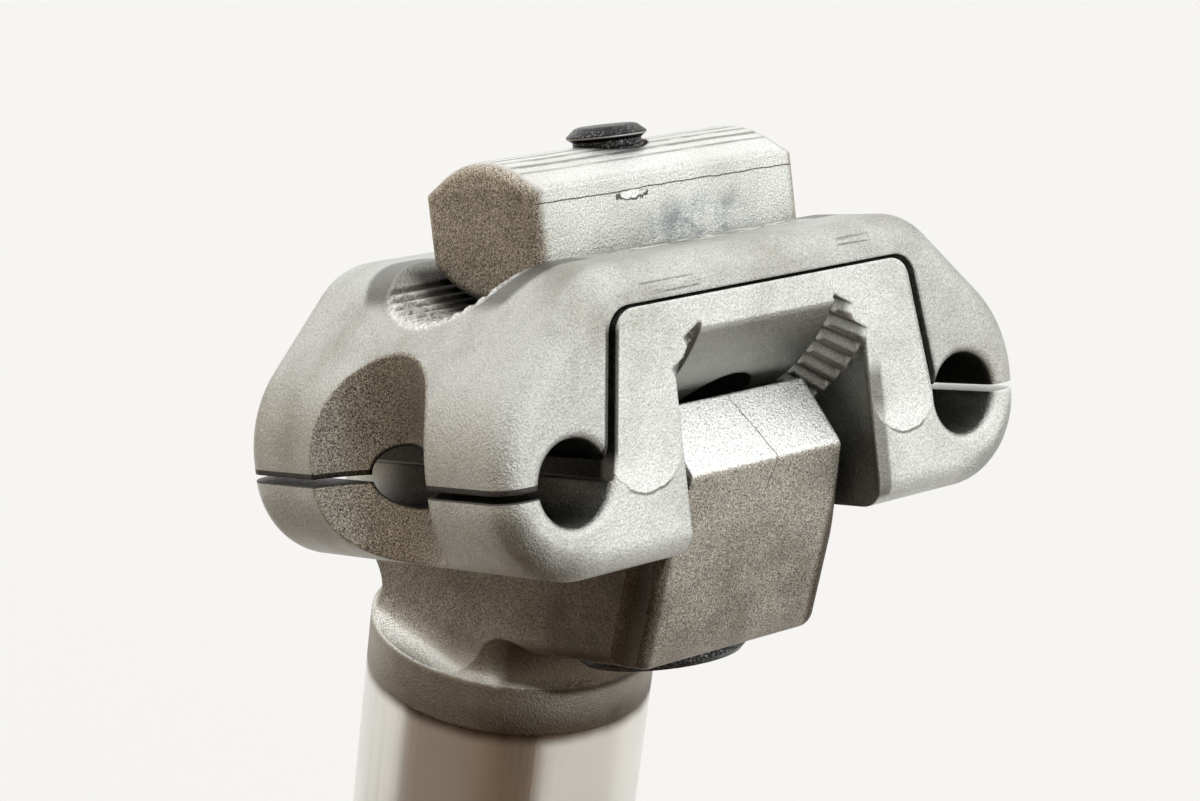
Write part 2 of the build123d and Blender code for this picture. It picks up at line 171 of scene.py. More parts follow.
class SeatpostBolt(bpy.types.PropertyGroup):
    """Sizes of the clamp bolt, with heights from the rail centres along the bolt."""
    tip: length(26.5, "Tip", "Height of the threaded end")
    tip_rim: length(25.75, "Tip rim", "Height of the lower edge of the end's bevel")
    shank: length(3.5, "Shank radius", "Radius of the shank and of the thread's crest")
    root: length(3.0, "Root radius", "Radius at the bottom of the thread")
    neck: length(1.1, "Neck", "Height from the end of the thread to the tip's rim")
    pitch: length(1.25, "Pitch", "Rise of the thread in one turn")
    turns: IntProperty(name="Turns", description="Turns of thread below the end", default=10, min=1)
    head: length(7.5, "Head radius", "Radius of the bolt's head")
    head_height: length(5.0, "Head height", "Height of the bolt's head")
    head_low: length(-20.2, "Head face", "Height of the head's lower face")
    bevel: length(0.5, "Bevel", "Bevel of the head's lower edge and of the shank above the thread's start")
    lip: length(0.25, "Lip", "Bevel of the socket and of the head's upper edge")
    socket: length(3.0, "Socket", "Half the width of the hexagon socket across its flats")
    socket_depth: length(3.5, "Socket depth", "Depth of the hexagon socket")


class SeatpostStudio(bpy.types.PropertyGroup):
    """Floor, lamps and cards."""
    floor: colour("#EFEEEC", "Floor", "Pale paper floor")
    brown: colour("#75624F", "Brown card", "Card that bare metal mirrors on its shaded side")
    tan: colour("#E4D4BE", "Tan card", "Card that bare metal mirrors at the height of the clamp")
    black: colour("#3A3733", "Black card", "Card for the darkest streak on the tube")
    key: level(1.65, "Key lamp", "Irradiance of the main soft lamp")
    rim: level(1.25, "Rim lamp", "Irradiance of the soft lamp behind")
    ambient: level(0.5, "Ambient", "Level of the light from all round")


def add(tree, kind, inputs=None, output=0, **settings):
    """Adds a node with its settings, fills or links its inputs, and gives one of its outputs."""
    node = tree.nodes.new(kind)
    for name, value in settings.items():
        setattr(node, name, value)
    for key, value in (inputs or {}).items():
        socket = node.inputs[key]
        if isinstance(value, bpy.types.NodeSocket):
            tree.links.new(value, socket)
        else:
            socket.default_value = (*value, 1.0) if socket.type == "RGBA" else value
    return node.outputs[output] if node.outputs else None


def new_material(name):
    """Material with an empty node tree."""
    material = bpy.data.materials.new(name)
    material.use_nodes = True
    material.node_tree.nodes.clear()
    return material, material.node_tree


def clamp_place(tree):
    """Place on the metal in millimetres of the clamp frame: whole (mm), in parts (X, Y, Z), and as distances
    from the middle planes (side is |X|, depth is |Y|)."""
    turned = Matrix.Rotation(LEAN, 3, "X") @ RAIL_MIDDLE / MM
    coords = add(tree, "ShaderNodeTexCoord", output="Object")
    mm = add(tree, "ShaderNodeMapping", {
        "Vector": coords, "Scale": (1 / MM,) * 3, "Rotation": (LEAN, 0, 0), "Location": -turned})
    parts = add(tree, "ShaderNodeSeparateXYZ", {0: mm}).node.outputs
    at = {"mm": mm, "X": parts["X"], "Y": parts["Y"], "Z": parts["Z"]}
    for name, part in (("side", "X"), ("depth", "Y")):
        at[name] = add(tree, "ShaderNodeMath", {0: at[part]}, operation="ABSOLUTE")
    return at


def post_place(tree):
    """Place in millimetres from the middle of the tube's top, in the post's own directions."""
    coords = add(tree, "ShaderNodeTexCoord", output="Object")
    moved = add(tree, "ShaderNodeMapping", {
        "Vector": coords, "Scale": (1 / MM,) * 3, "Location": (0, 0, -TUBE_TOP / MM)})
    return add(tree, "ShaderNodeSeparateXYZ", {0: moved}).node.outputs


def mask(tree, *limits):
    """Product of limits. Each is a socket or a number, a smooth step (value, its level for the least, its level
    for the most, least, most), or a belt (value, (low, high), fade) that falls off over fade outside it."""
    product = None
    for limit in limits:
        if isinstance(limit, tuple):
            value, low, high, *ends = limit
            if isinstance(low, tuple):
                middle, half = (low[0] + low[1]) / 2, (low[1] - low[0]) / 2
                offset = add(tree, "ShaderNodeMath", {0: value, 1: middle}, operation="SUBTRACT")
                value = add(tree, "ShaderNodeMath", {0: offset}, operation="ABSOLUTE")
                low, high = half + high, half
            least, most = ends or (0.0, 1.0)
            limit = add(tree, "ShaderNodeMapRange", {
                "Value": value, "From Min": low, "From Max": high, "To Min": least, "To Max": most},
                interpolation_type="SMOOTHSTEP")
        if product is None:
            product = limit
        else:
            product = add(tree, "ShaderNodeMath", {0: product, 1: limit}, operation="MULTIPLY")
    return product


def patches(tree, vector, size_mm, step, detail=3.0, roughness=0.5):
    """Random patches about size_mm wide: a smooth step of noise."""
    cloud = add(tree, "ShaderNodeTexNoise", {
        "Vector": vector, "Scale": 1 / size_mm, "Detail": detail, "Roughness": roughness})
    return mask(tree, (cloud, *step))


def wavering(tree, at, value, size_mm, amount_mm):
    """A value with a slow random offset in millimetres."""
    offset = patches(tree, at["mm"], size_mm, (0.0, 1.0, -amount_mm, amount_mm))
    return add(tree, "ShaderNodeMath", {0: value, 1: offset}, operation="ADD")


def distance(tree, across, along, middle):
    """Distance from a middle, in the plane of two parts of a place."""
    spot = add(tree, "ShaderNodeCombineXYZ", {"X": across, "Y": along})
    return add(tree, "ShaderNodeVectorMath", {0: spot, 1: (*middle, 0.0)}, "Value", operation="DISTANCE")


def coated(tree, skin, coats):
    """Colour of a skin under coats of (mask, tint, blend)."""
    for cover, tint, blend in coats:
        skin = add(tree, "ShaderNodeMix", {0: cover, 6: skin, 7: tint}, 2, data_type="RGBA", blend_type=blend)
    return skin


# A mark is a mask from 0 to 1. Its levels are millimetres, in the clamp frame unless post_place gives them.

# Marks of the lower clamp

def plate_reach(tree, at):
    """Distance from the middle of the round plate that the dies raised on each leg's face."""
    return distance(tree, at["side"], wavering(tree, at, at["Z"], 2.5, 0.35), PLATE)


def ledge_plate(tree, at):
    """Lower end of the raised plate on each leg's face, with a painted highlight along its ridge."""
    return mask(tree, (plate_reach(tree, at), 4.15, 3.95), (at["Z"], 1.5, -1.0), (at["Y"], -18.2, -18.4), 0.4)


def ledge_line(tree, at):
    """Painted shadow: a dark line under that plate."""
    return mask(tree, (plate_reach(tree, at), (4.08, 4.2), 0.12), (at["Z"], -1.3, -1.7),
                (at["Y"], -18.2, -18.4), 0.6)


def ear_shade(tree, at):
    """Painted shade round the lower border of the ears."""
    return mask(tree, (distance(tree, at["side"], at["Z"], RAIL), 4.7, 5.8), (at["Z"], -0.5, -2.5),
                (at["side"], 19.5, 23.5), (at["Y"], -14.0, -17.0), 0.45)


def leg_edge_shade(tree, at):
    """Black painted shade on the inner edge of the right leg."""
    return mask(tree, (at["X"], (10.8, 11.7), 0.5), (at["Z"], 5.0, 3.0), (at["Y"], -18.0, -18.3), 0.7)


def tunnel_shade(tree, at):
    """Painted shade under the bridge, between the legs."""
    return mask(tree, (at["side"], 10.8, 10.6), (at["Y"], -18.6, -18.2), 0.5)


def flank_shade(tree, at):
    """Painted shade on the toothed flanks of the rocker, under the bridge."""
    return mask(tree, tunnel_shade(tree, at), (at["side"], 8.1, 8.5), 0.7)


# Marks of both clamps

def scallop_shade(tree, at):
    """Brown tint in the hollows of the clamp's sides: painted shade for the hollows."""
    return mask(tree, (distance(tree, at["side"], at["Y"], SCALLOP), 9.9, 9.45), (at["side"], 27.2, 25.2, 0.65, 1.0))


def bore_shade(tree, at):
    """Painted shade inside the rail bores, less in the mouths of their lower halves where light enters."""
    inside = mask(tree, (at["depth"], 18.0, 8.0, 0.1, 0.95))
    above = mask(tree, (at["Z"], -2.0, 0.5, 0.0, 0.9))
    shade = add(tree, "ShaderNodeMath", {0: inside, 1: above}, operation="MAXIMUM")
    return mask(tree, (distance(tree, at["side"], at["Z"], RAIL), 3.75, 3.55), shade)


def slot_shade(tree, at):
    """Painted shade in the slots beside the legs, which the bores open into."""
    return mask(tree, (at["side"], (14.8, 18.8), 0.3), (at["depth"], 17.6, 16.6, 0.0, 0.95),
                (at["Z"], (-0.2, 5.5), 0.5))


def slot_line(tree, at):
    """Black painted shade on both edges of the slots beside the legs, on the rear face."""
    below_top = add(tree, "ShaderNodeMath", {0: at["Z"], 1: 12.9}, operation="SUBTRACT")
    across = add(tree, "ShaderNodeMath", {0: below_top, 1: 0.15, 2: at["side"]}, operation="MULTIPLY_ADD")
    return mask(tree, (across, (15.75, 16.95), 0.2), (at["Y"], -17.0, -17.6), (at["Z"], (2.0, 11.0), 1.5),
                (at["X"], 1.0, -1.0, 0.25, 0.85))


def parting_shade(tree, at):
    """Black painted shade in the gap between the clamp's halves on the left."""
    return mask(tree, (at["Z"], (-0.55, 0.55), 0.1), (at["X"], -23.0, -25.0, 0.0, 0.9))


def parting_highlight(tree, at):
    """Painted highlight in the gap between the clamp's halves on the right: bright metal where light comes through."""
    return mask(tree, (at["Z"], (-0.47, 0.17), 0.04), (at["X"], 24.5, 25.5))


# Marks of the upper clamp

def groove_shade(tree, at):
    """Painted shade between the notches of the nut's groove, under the nut."""
    return mask(tree, (distance(tree, at["Y"], at["Z"], TILT), 12.0, 11.6), (at["Z"], 16.4, 15.6),
                (at["side"], 17.6, 15.4, 0.0, 0.9))


def groove_rim(tree, at):
    """Painted shadow along the rims of the groove beside the nut's ends."""
    return mask(tree, (distance(tree, at["Y"], at["Z"], TILT), (11.8, 13.6), 0.8),
                (at["side"], (13.0, 20.0), 1.2), 0.75)


def groove_end(tree, at):
    """Bright metal where the groove runs out on the shoulders: worn metal, and a painted highlight there as well."""
    return mask(tree, (distance(tree, at["Y"], at["Z"], TILT), 12.2, 11.8), (at["side"], 16.0, 18.0),
                (at["Y"], 8.0, 5.0), patches(tree, at["mm"], 0.5, (0.35, 0.65, 0.1, 0.8), 4.0, 0.7))


def rim_chips(tree, at):
    """Bright chips along the edge of the nut's groove."""
    long = add(tree, "ShaderNodeMapping", {"Vector": at["mm"], "Scale": (0.45, 1.4, 1.4)})
    return mask(tree, patches(tree, long, 1.0, (0.5, 0.56), 4.0, 0.7), (at["Y"], (-11.6, -9.8), 0.5),
                (at["Z"], 15.9, 16.3), (at["X"], (-9.0, 11.0), 1.5))


def rim_specks(tree, at):
    """Brown specks among those chips."""
    return mask(tree, patches(tree, at["mm"], 0.7, (0.48, 0.58, 0.0, 0.8), 3.0, 0.7), (at["Y"], (-11.8, -9.6), 0.4),
                (at["Z"], 15.9, 16.3), (at["X"], (-9.0, 11.0), 1.5))


def rim_scratches(tree, at):
    """Two groups of short scratches under the upper rim of the rear side."""
    fine = add(tree, "ShaderNodeMapping", {"Vector": at["mm"], "Scale": (0.14, 1.0, 3.6)})
    left = mask(tree, (at["X"], (-13.0, -7.4), 0.6), (at["Z"], (13.7, 14.6), 0.2))
    right = mask(tree, (at["X"], (8.8, 12.0), 0.6), (at["Z"], (14.5, 15.3), 0.2))
    groups = add(tree, "ShaderNodeMath", {0: left, 1: right}, operation="ADD")
    return mask(tree, patches(tree, fine, 1.0, (0.5, 0.62, 0.0, 0.55), 2.0), groups, (at["Y"], -16.5, -17.0))


# Marks of the nut

def nut_fold(tree, at):
    """Thin fold along the nut's long sides, where the forging closed."""
    line = wavering(tree, at, at["Z"], 4.0, 0.25)
    return mask(tree, (line, (21.3, 21.32), 0.07), (at["depth"], 7.3, 7.5), 0.8)


def flake_reach(tree, at):
    """Distance from the middle of a flake of metal that hangs from the fold on the rear side, 1 at its border."""
    half_width, half_height = 1.4, 0.42
    spot = add(tree, "ShaderNodeMapping", {
        "Vector": at["mm"], "Location": (4.2 / half_width, 0.0, -20.9 / half_height),
        "Scale": (1 / half_width, 0.0, 1 / half_height)})
    reach = add(tree, "ShaderNodeVectorMath", {0: spot}, "Value", operation="LENGTH")
    return wavering(tree, at, reach, 0.6, 0.6)


def nut_flake(tree, at):
    """Bright flake on the nut's rear side."""
    return mask(tree, (flake_reach(tree, at), 1.0, 0.7), (at["Y"], -7.3, -7.5), 0.55)


def flake_line(tree, at):
    """Dark crack round the lower side of that flake."""
    return mask(tree, (flake_reach(tree, at), (1.02, 1.12), 0.12), (at["Y"], -7.3, -7.5), (at["Z"], 21.3, 20.9))


def nut_ends(tree, at):
    """Ends of the nut, which keep their brown forged skin; the brown also darkens them as painted shade."""
    return mask(tree, (at["side"], 13.2, 14.3))


def nut_top(tree, at):
    """Top of the nut, rubbed bright."""
    return mask(tree, (at["Z"], 22.3, 23.0, 0.0, 0.4))


def nut_sides(tree, at):
    """Sandy skin of the nut's sides, coarsest on its ends."""
    ends = mask(tree, (at["side"], 13.6, 14.3))
    return add(tree, "ShaderNodeMath", {0: ends, 1: mask(tree, (at["Z"], 23.2, 22.3, 0.1, 0.4))}, operation="MAXIMUM")


def nut_lines(tree, at):
    """Drawn lines along the top of the nut, 1.3 mm apart."""
    across = wavering(tree, at, at["Y"], 6.0, 0.25)
    lines = add(tree, "ShaderNodeMath", {0: across, 1: 1.3 / 2}, operation="PINGPONG")
    return mask(tree, (lines, 0.42, 0.08), patches(tree, at["mm"], 3.0, (0.3, 0.6, 0.3, 0.75)),
                (at["Z"], 22.8, 23.1), (at["Y"], (-5.0, 5.0), 0.4), (at["X"], (-13.4, 13.4), 0.3))


def nut_stain(tree, at):
    """Bluish stain low on the nut's long sides."""
    return mask(tree, patches(tree, at["mm"], 2.2, (0.35, 0.7), 5.0, 0.7), (at["Z"], 21.0, 17.8),
                (at["X"], (0.0, 5.0), 6.0), (at["depth"], 7.3, 7.5))


# Marks of the head

def die_line(tree, at):
    """Thin parting line of the dies, which runs askew down the bevel and the rear face of the head."""
    below_edge = add(tree, "ShaderNodeMath", {0: at["Z"], 1: 2.0}, operation="ADD")
    from_edge = add(tree, "ShaderNodeMath", {0: below_edge}, operation="ABSOLUTE")
    askew = add(tree, "ShaderNodeMath", {0: from_edge, 1: 0.3, 2: at["X"]}, operation="MULTIPLY_ADD")
    line = wavering(tree, at, askew, 2.5, 0.14)
    return mask(tree, (line, (1.17, 1.2), 0.07), patches(tree, at["mm"], 1.5, (0.2, 0.5)),
                (at["Z"], -7.0, -2.0, 0.25, 0.9))


def head_block(tree, at):
    """Coarse sandy skin of the block under the seat, smoother down the neck."""
    return mask(tree, (at["Z"], -22.0, -14.0), (at["Z"], -1.8, -2.2, 0.5, 1.0))


def lip_bevel(tree, at):
    """Bevel under the lip of the seat, rubbed clean and painted bright as a highlight where it catches the light."""
    return mask(tree, (at["Z"], -2.2, -1.8), (at["Y"], -10.5, -11.5))


def brow_shade(tree, at):
    """Painted shade in the hollows along the edges of the head's rear face."""
    inwards = (0.0, 0.906, 0.423)
    from_face = add(tree, "ShaderNodeVectorMath", {0: at["mm"], 1: inwards}, "Value", operation="DOT_PRODUCT")
    return mask(tree, (from_face, (-15.0, -13.6), 1.2), (at["side"], 8.6, 9.3), (at["Z"], -2.0, -4.0, 0.0, 0.5))


def side_shade(tree, at):
    """Painted shade on the head's flat sides under the clamp, darkest to the rear."""
    height = post_place(tree)["Z"]
    return mask(tree, (at["side"], 8.4, 9.2), (at["Y"], 10.0, -4.0, 0.65, 0.8), (at["Z"], 0.0, -6.0),
                (height, 5.2, 6.2), (height, 8.0, 14.0, 0.7, 1.0))


def hollow_shade(tree, at):
    """Dark painted shade in the hollow of the neck under the head's rear."""
    place = post_place(tree)
    border = mask(tree, (at["X"], -8.0, -4.0, 4.9, 4.0))
    above = add(tree, "ShaderNodeMath", {0: place["Z"], 1: border}, operation="SUBTRACT")
    return mask(tree, (above, -0.3, 0.4), (at["side"], 9.8, 8.2), (place["Y"], -4.0, -8.0),
                (place["Y"], -14.2, -13.6), 0.9)


def cove_highlight(tree, at):
    """Painted highlight along the foot of the round hollows over the collar."""
    return mask(tree, (at["side"], 8.8, 9.6), (post_place(tree)["Z"], (4.7, 5.2), 0.5), 0.5)


def face_grime(tree, at):
    """Thin dirt low on the head's rear face."""
    return mask(tree, (at["Z"], -5.0, -14.0), (post_place(tree)["Y"], -15.0, -17.0),
                patches(tree, at["mm"], 5.0, (0.3, 0.7, 0.15, 0.45)))


def collar_dirt_and_shade(tree, at):
    """Dirt on the collar, thickest at the joint with the tube, with painted shade that is weaker on its left side,
    where more light falls.
    """
    ragged = add(tree, "ShaderNodeTexNoise", {"Vector": at["mm"], "Scale": 1 / 1.5, "Detail": 3.0})
    height = add(tree, "ShaderNodeMath", {0: ragged, 1: 1.2, 2: post_place(tree)["Z"]}, operation="MULTIPLY_ADD")
    return mask(tree, (height, 5.6, 5.0), (height, 4.0, 0.8, 0.5, 0.9), (at["X"], -13.0, -8.0, 0.4, 1.0))


def blasted_aluminium(name, skin, finish, marks, sand, rubbed=None, swell=None):
    """Forged aluminium, bead-blasted: a matt grey with bright and dark grains painted into its colour, partly the
    grain's own tone and partly painted glints for its fine sparkle, dull and warm where it tarnished, with bright
    rubbed edges. Each mark is a mask, its colour and its height in the grain; bright metal covers the skin, other
    colours darken it. Sand is a mask with the contrast of the painted grains outside and inside it. The grain of
    0.1 mm is drawn at 0.15 mm so that it shows. Rubbed is a mask where the grain is low, swell one where the face
    bulges rearwards."""
    material, tree = new_material(name)
    at = clamp_place(tree)
    fineness = MM / finish.grain
    grain = add(tree, "ShaderNodeTexNoise", {
        "Vector": at["mm"], "Scale": fineness, "Detail": 3.0, "Roughness": 0.65})
    peen = add(tree, "ShaderNodeTexVoronoi", {"Vector": at["mm"], "Scale": fineness / 2}, "Distance")
    cloud = patches(tree, at["mm"], 9.0, (0.4, 0.75), 5.0, 0.6)
    sandy, plain_sand, full_sand = sand
    contrast = mask(tree, (sandy(tree, at), 0.0, 1.0, plain_sand, full_sand))
    # Painted glints: the grit noise scales the colour up and down, so the skin sparkles in its colour; the contrast is
    # higher inside the sand mask.
    grit = add(tree, "ShaderNodeTexNoise", {
        "Vector": at["mm"], "Scale": fineness, "Detail": 2.0, "Roughness": 0.85})
    spread = add(tree, "ShaderNodeMapRange", {
        "Value": grit, "From Min": 0.4, "From Max": 0.6, "To Min": -0.9}, clamp=False)
    sparkle = add(tree, "ShaderNodeMath", {0: spread, 1: contrast, 2: 1.0}, operation="MULTIPLY_ADD")
    glints = add(tree, "ShaderNodeMath", {0: sparkle, 1: 0.2}, operation="MAXIMUM")

    rounded = add(tree, "ShaderNodeBevel", {"Radius": finish.edge_round}, samples=6)
    flat = add(tree, "ShaderNodeNewGeometry", output="Normal")
    turn = add(tree, "ShaderNodeVectorMath", {0: rounded, 1: flat}, "Value", operation="DOT_PRODUCT")
    edge = mask(tree, (turn, 0.99, 0.9, 0.0, 0.5), grain)

    coats = [(cloud, finish.tarnish, "MULTIPLY"), (edge, finish.bright, "MIX")]
    height = add(tree, "ShaderNodeMath", {0: grain, 1: 2.0, 2: peen}, operation="MULTIPLY_ADD")
    for mask_of, tint, lift in marks:
        cover = mask_of(tree, at)
        coats.append((cover, getattr(finish, tint), "MIX" if tint == "bright" else "MULTIPLY"))
        if lift:
            height = add(tree, "ShaderNodeMath", {0: cover, 1: lift, 2: height}, operation="MULTIPLY_ADD")
    coats.append((1.0, glints, "MULTIPLY"))

    smooth = mask(tree, (grain, 0.3, 0.7, 0.3, 0.45))
    rough = add(tree, "ShaderNodeMath", {0: contrast, 1: 0.15, 2: smooth}, operation="MULTIPLY_ADD")
    strength = mask(tree, (rubbed(tree, at), 0.0, 1.0, 1.0, 0.3)) if rubbed else 1.0
    if swell:
        rearwards = (0.0, -0.16, 0.0)
        leaning = add(tree, "ShaderNodeVectorMath", {
            0: rearwards, 1: swell(tree, at), 2: rounded}, operation="MULTIPLY_ADD")
        rounded = add(tree, "ShaderNodeVectorMath", {0: leaning}, operation="NORMALIZE")
    bump = add(tree, "ShaderNodeBump", {
        "Strength": strength, "Distance": 0.03 * MM, "Height": height, "Normal": rounded})
    shader = add(tree, "ShaderNodeBsdfPrincipled", {
        "Base Color": coated(tree, skin, coats), "Metallic": 1.0, "Roughness": rough, "Normal": bump})
    add(tree, "ShaderNodeOutputMaterial", {"Surface": shader})
    return material


def polished_aluminium(finish):
    """Drawn aluminium tube, polished along its length: clear soft reflections with faint upright lines, and
    dried dirt where the tube meets the collar."""
    material, tree = new_material("polished_aluminium_tube")
    coords = add(tree, "ShaderNodeTexCoord", output="Object")
    line_gap, line_length = 0.25 * MM, 40 * MM
    drawn = add(tree, "ShaderNodeMapping", {
        "Vector": coords, "Scale": (1 / line_gap, 1 / line_gap, 1 / line_length)})
    lines = add(tree, "ShaderNodeTexNoise", {"Vector": drawn, "Scale": 1.0, "Detail": 3.0})
    haze = add(tree, "ShaderNodeTexNoise", {"Vector": coords, "Scale": 1 / (14 * MM), "Detail": 4.0})
    z = add(tree, "ShaderNodeSeparateXYZ", {0: coords}, "Z")
    ragged = add(tree, "ShaderNodeTexNoise", {"Vector": coords, "Scale": 1 / (4 * MM), "Detail": 3.0})
    height = add(tree, "ShaderNodeMath", {0: ragged, 1: -1.0 * MM, 2: z}, operation="MULTIPLY_ADD")
    dirt = mask(tree, (height, TUBE_TOP - 2.0 * MM, TUBE_TOP - 0.4 * MM))
    skin = coated(tree, finish.polished, [(haze, finish.clean, "MIX"), (dirt, finish.grime_and_shade, "MULTIPLY")])
    rough = add(tree, "ShaderNodeMapRange", {
        "Value": lines, "From Min": 0.3, "From Max": 0.7, "To Min": 0.16, "To Max": 0.27})
    bump = add(tree, "ShaderNodeBump", {"Strength": 0.15, "Distance": 0.004 * MM, "Height": lines})
    shader = add(tree, "ShaderNodeBsdfPrincipled", {
        "Base Color": skin, "Metallic": 1.0, "Roughness": rough, "Normal": bump})
    add(tree, "ShaderNodeOutputMaterial", {"Surface": shader})
    return material


def worn_steel(name, skin, bare, roughness, rim):
    """Turned steel with a thin skin (black oxide or zinc): a soft gloss, rubbed to bare metal in fine scuffs of
    a quarter of a millimetre and along a rim, given as heights in millimetres."""
    material, tree = new_material(name)
    at = clamp_place(tree)
    scuffs = add(tree, "ShaderNodeTexNoise", {"Vector": at["mm"], "Scale": 4.0, "Detail": 3.0, "Roughness": 0.7})
    scuffed = add(tree, "ShaderNodeMapRange", {"Value": scuffs, "From Min": 0.52, "From Max": 0.85})
    rubbed = add(tree, "ShaderNodeMath", {
        0: scuffed, 1: mask(tree, (at["Z"], rim, 0.06), 0.9)}, operation="MAXIMUM")
    grain = add(tree, "ShaderNodeTexNoise", {"Vector": at["mm"], "Scale": 6.0, "Detail": 2.0})
    rough = add(tree, "ShaderNodeMapRange", {
        "Value": grain, "To Min": roughness - 0.1, "To Max": roughness + 0.1})
    bump = add(tree, "ShaderNodeBump", {"Strength": 0.3, "Distance": 0.02 * MM, "Height": grain})
    shader = add(tree, "ShaderNodeBsdfPrincipled", {
        "Base Color": coated(tree, skin, [(rubbed, bare, "MIX")]), "Metallic": 1.0, "Roughness": rough,
        "Normal": bump})
    add(tree, "ShaderNodeOutputMaterial", {"Surface": shader})
    return material


def matt_paper(name, tint):
    """Thick uncoated paper: no gloss, with fibres 2 mm long in its roughness."""
    material, tree = new_material(name)
    coords = add(tree, "ShaderNodeTexCoord", output="Object")
    fibre = add(tree, "ShaderNodeTexNoise", {"Vector": coords, "Scale": 1 / (2 * MM)})
    rough = add(tree, "ShaderNodeMapRange", {"Value": fibre, "To Min": 0.85, "To Max": 0.95})
    shader = add(tree, "ShaderNodeBsdfPrincipled", {"Base Color": tint, "Roughness": rough})
    add(tree, "ShaderNodeOutputMaterial", {"Surface": shader})
    return material


def card_stock(name, tint):
    """Matt card that fades out with its cover."""
    material, tree = new_material(name)
    cover = add(tree, "ShaderNodeAttribute", output="Fac", attribute_name="cover")
    matt = add(tree, "ShaderNodeBsdfDiffuse", {"Color": tint})
    clear = add(tree, "ShaderNodeBsdfTransparent")
    mixed = add(tree, "ShaderNodeMixShader", {0: cover, 1: clear, 2: matt})
    add(tree, "ShaderNodeOutputMaterial", {"Surface": mixed})
    return material


def dress(node, material):
    """Gives a CAD node its finish."""
    slots = frame["nodes"][node].data.materials
    slots.clear()
    slots.append(material)


def new_piece(name, mesh, material, body):
    """Links a finished mesh as a piece that rides on a body."""
    piece = bpy.data.objects.new(name, mesh)
    bpy.context.scene.collection.objects.link(piece)
    mesh.materials.clear()
    mesh.materials.append(material)
    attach(piece, body)
    return piece


def stage_object(name, verts, faces, material):
    """Links a mesh that belongs to the studio."""
    mesh = bpy.data.meshes.new(name)
    mesh.from_pydata(verts, [], faces)
    mesh.materials.append(material)
    thing = bpy.data.objects.new(name, mesh)
    bpy.context.scene.collection.objects.link(thing)
    return thing


def turned_mesh(name, rings, segments):
    """Closed mesh from (height, radius at an angle) rings from the lowest face's middle to the top."""
    work = bmesh.new()
    low = work.verts.new((0, 0, rings[0][0]))
    rows = []
    for height, radius in rings[1:-1]:
        row = []
        for step in range(segments):
            angle = 2 * math.pi * step / segments
            reach = radius(angle) if callable(radius) else radius
            row.append(work.verts.new((reach * math.cos(angle), reach * math.sin(angle), height)))
        rows.append(row)
    top = work.verts.new((0, 0, rings[-1][0]))
    for step in range(segments):
        after = (step + 1) % segments
        work.faces.new((low, rows[0][after], rows[0][step]))
        work.faces.new((top, rows[-1][step], rows[-1][after]))
        for under, over in zip(rows, rows[1:]):
            work.faces.new((under[step], under[after], over[after], over[step]))
    bmesh.ops.recalc_face_normals(work, faces=work.faces)
    mesh = bpy.data.meshes.new(name)
    work.to_mesh(mesh)
    work.free()
    mesh.transform(CLAMP_TO_POST)
    mesh.set_sharp_from_angle(angle=SHARP_EDGE)
    return mesh


def thread_tree(material):
    """Node tree for a ridge that climbs round a bolt and fades out at both ends."""
    tree = bpy.data.node_groups.new("bolt_thread", "GeometryNodeTree")
    for name, kind in (("Turns", "Int"), ("Pitch", "Float"), ("Root Radius", "Float"), ("Ridge Height", "Float")):
        tree.interface.new_socket(name, in_out="INPUT", socket_type="NodeSocket" + kind)
    tree.interface.new_socket("Thread", in_out="OUTPUT", socket_type="NodeSocketGeometry")
    given = add(tree, "NodeGroupInput").node.outputs
    rise = add(tree, "ShaderNodeMath", {0: given["Turns"], 1: given["Pitch"]}, operation="MULTIPLY")
    helix = add(tree, "GeometryNodeCurveSpiral", {
        "Resolution": THREAD_POINTS, "Rotations": given["Turns"], "Start Radius": given["Root Radius"],
        "End Radius": given["Root Radius"], "Height": rise, "Reverse": True})
    upright = add(tree, "GeometryNodeSetCurveNormal", {"Curve": helix}, mode="Z_UP")
    along = add(tree, "GeometryNodeSplineParameter", output="Factor")
    full_from, full_to, least = 0.04, 0.97, 0.05
    rising = add(tree, "ShaderNodeMapRange", {"Value": along, "From Max": full_from, "To Min": least})
    falling = add(tree, "ShaderNodeMapRange", {
        "Value": along, "From Min": 1.0, "From Max": full_to, "To Min": least})
    fade = add(tree, "ShaderNodeMath", {0: rising, 1: falling}, operation="MINIMUM")
    ridge = add(tree, "GeometryNodeCurvePrimitiveCircle", {"Resolution": RIDGE_SIDES, "Radius": given["Ridge Height"]})
    swept = add(tree, "GeometryNodeCurveToMesh", {
        "Curve": upright, "Profile Curve": ridge, "Scale": fade, "Fill Caps": True})
    plain = add(tree, "GeometryNodeRealizeInstances", {0: swept})
    done = add(tree, "GeometryNodeSetMaterial", {"Geometry": plain, "Material": material})
    add(tree, "NodeGroupOutput", {0: done})
    return tree


class SEATPOST_OT_clamps(bpy.types.Operator):
    """Finish the two forged halves of the saddle clamp"""
    bl_idname = "seatpost.clamps"
    bl_label = "Saddle clamp"

    def execute(self, context):
        finish = context.scene.seatpost_finish
        sand = (scallop_shade, 0.2, 0.75)
        shared = (
            (scallop_shade, "brown", 0), (bore_shade, "shade_black", 0), (slot_shade, "shade_black", 0),
            (parting_shade, "shade_black", 0), (parting_highlight, "bright", 0), (slot_line, "shade_black", 0))
        dress("lower_clamp", blasted_aluminium("blasted_aluminium_lower_clamp", finish.clean, finish, (
            (ear_shade, "mark", 0), (leg_edge_shade, "mark", 0), (ledge_plate, "bright", 4.0), (ledge_line, "mark", -1.0),
            *shared, (tunnel_shade, "mark", 0), (flank_shade, "flank", 0)), sand))
        dress("upper_clamp", blasted_aluminium("blasted_aluminium_upper_clamp", finish.dull, finish, (
            (rim_specks, "grime_and_shade", -2.0), (rim_chips, "bright", 5.0), (rim_scratches, "mark", -1.0),
            *shared, (groove_shade, "mark", 0), (groove_rim, "mark", 0), (groove_end, "bright", 0)), sand))
        return {"FINISHED"}


